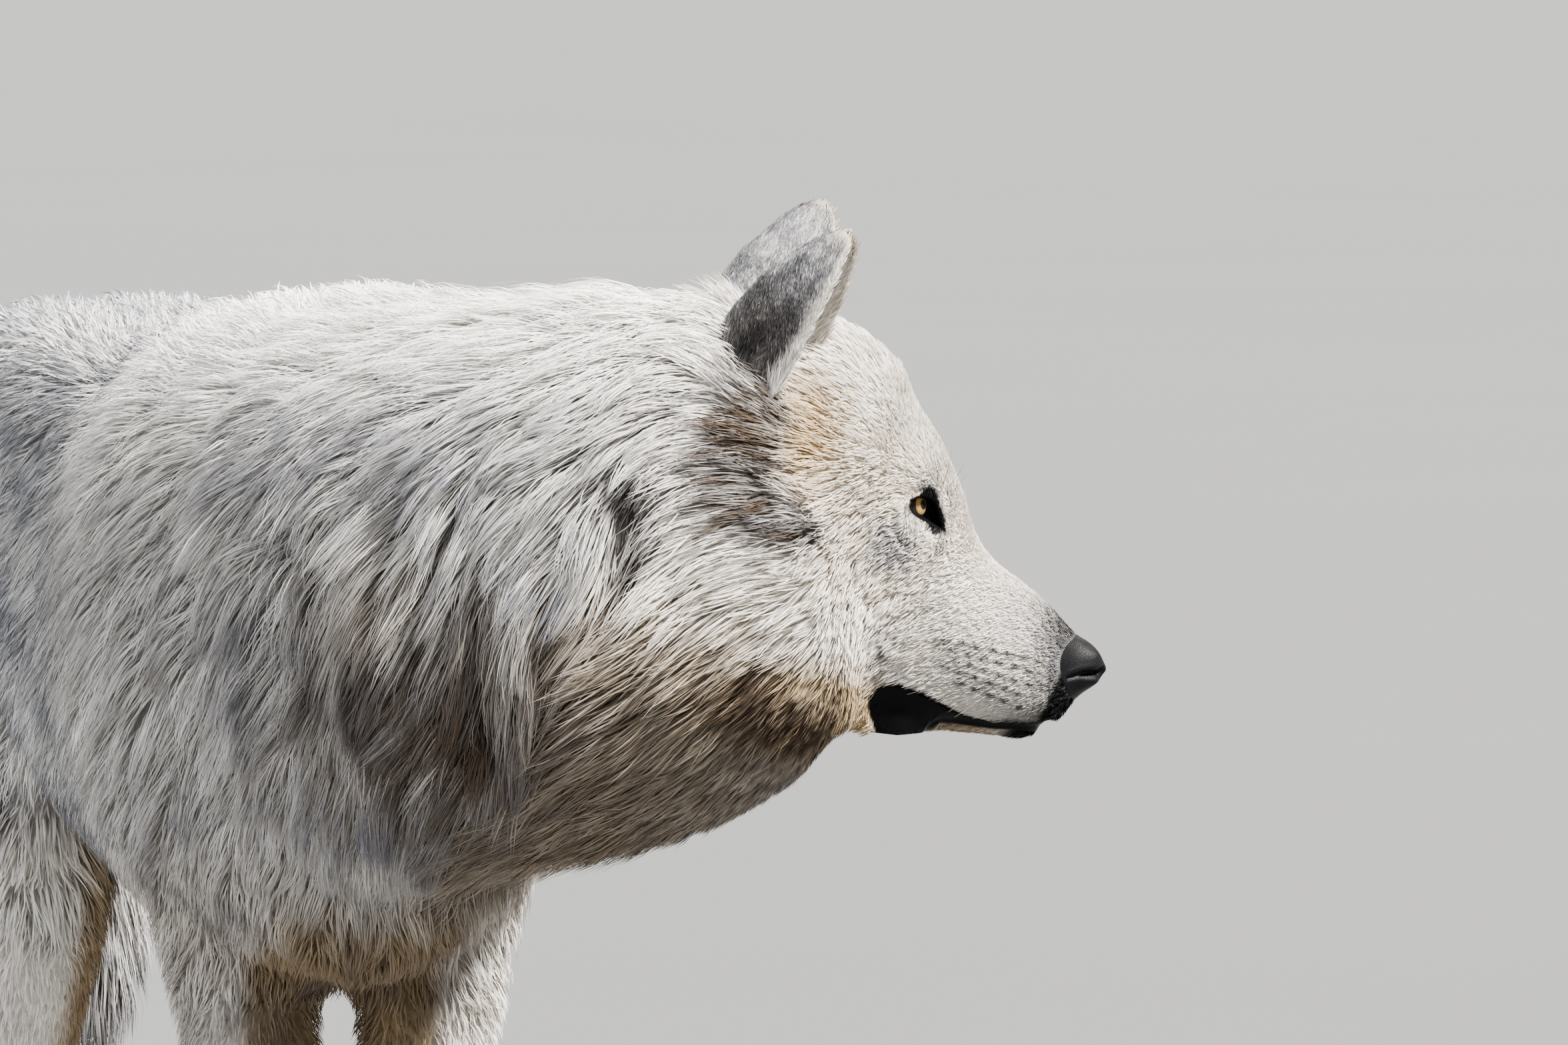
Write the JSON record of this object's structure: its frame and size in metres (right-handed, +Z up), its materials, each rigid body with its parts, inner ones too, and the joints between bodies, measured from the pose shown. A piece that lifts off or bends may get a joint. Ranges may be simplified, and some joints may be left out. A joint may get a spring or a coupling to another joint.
{
  "type": "arctic wolf",
  "caption": "Life-size museum model of a standing arctic wolf with a pale shaggy coat, its head held low and turned to its left.",
  "frame": {"origin": "centre of the bounding box, on the floor under the paws", "axes": "+Z up, -Y the way the body faces, +X the wolf's left, to which the head is turned"},
  "size_m": [0.5132, 1.238, 0.8286],
  "materials": {
    "coat": "long pale grey and cream fur with dark-banded tips",
    "face_coat": "short near-white fur",
    "ear_coat": "short dark grey fur with white rims",
    "nose_leather": "black damp nose leather",
    "eye": "amber iris under a wet clear surface",
    "claw_horn": "dark horn"
  },
  "bodies": {
    "root": {"head": "face_coat", "lower_jaw": "face_coat", "nose": "nose_leather", "ear_left": "ear_coat", "ear_right": "ear_coat", "eye_left": "eye", "eye_right": "eye", "neck": "coat", "chest": "coat", "loin": "coat", "rump": "coat", "tail_base": "coat", "tail_end": "coat", "foreleg_left_forearm": "coat", "foreleg_left_pastern": "coat", "hindleg_left_thigh": "coat", "hindleg_left_shank": "coat", "hindleg_left_hock": "coat", "foreleg_right_forearm": "coat", "foreleg_right_pastern": "coat", "hindleg_right_thigh": "coat", "hindleg_right_shank": "coat", "hindleg_right_hock": "coat", "foreleg_left_paw": "coat", "hindleg_left_paw": "coat", "foreleg_right_paw": "coat", "hindleg_right_paw": "coat", "foreleg_left_claw_1": "claw_horn", "foreleg_left_claw_2": "claw_horn", "foreleg_left_claw_3": "claw_horn", "foreleg_left_claw_4": "claw_horn", "hindleg_left_claw_1": "claw_horn", "hindleg_left_claw_2": "claw_horn", "hindleg_left_claw_3": "claw_horn", "hindleg_left_claw_4": "claw_horn", "foreleg_right_claw_1": "claw_horn", "foreleg_right_claw_2": "claw_horn", "foreleg_right_claw_3": "claw_horn", "foreleg_right_claw_4": "claw_horn", "hindleg_right_claw_1": "claw_horn", "hindleg_right_claw_2": "claw_horn", "hindleg_right_claw_3": "claw_horn", "hindleg_right_claw_4": "claw_horn"}
  },
  "joints": []
}
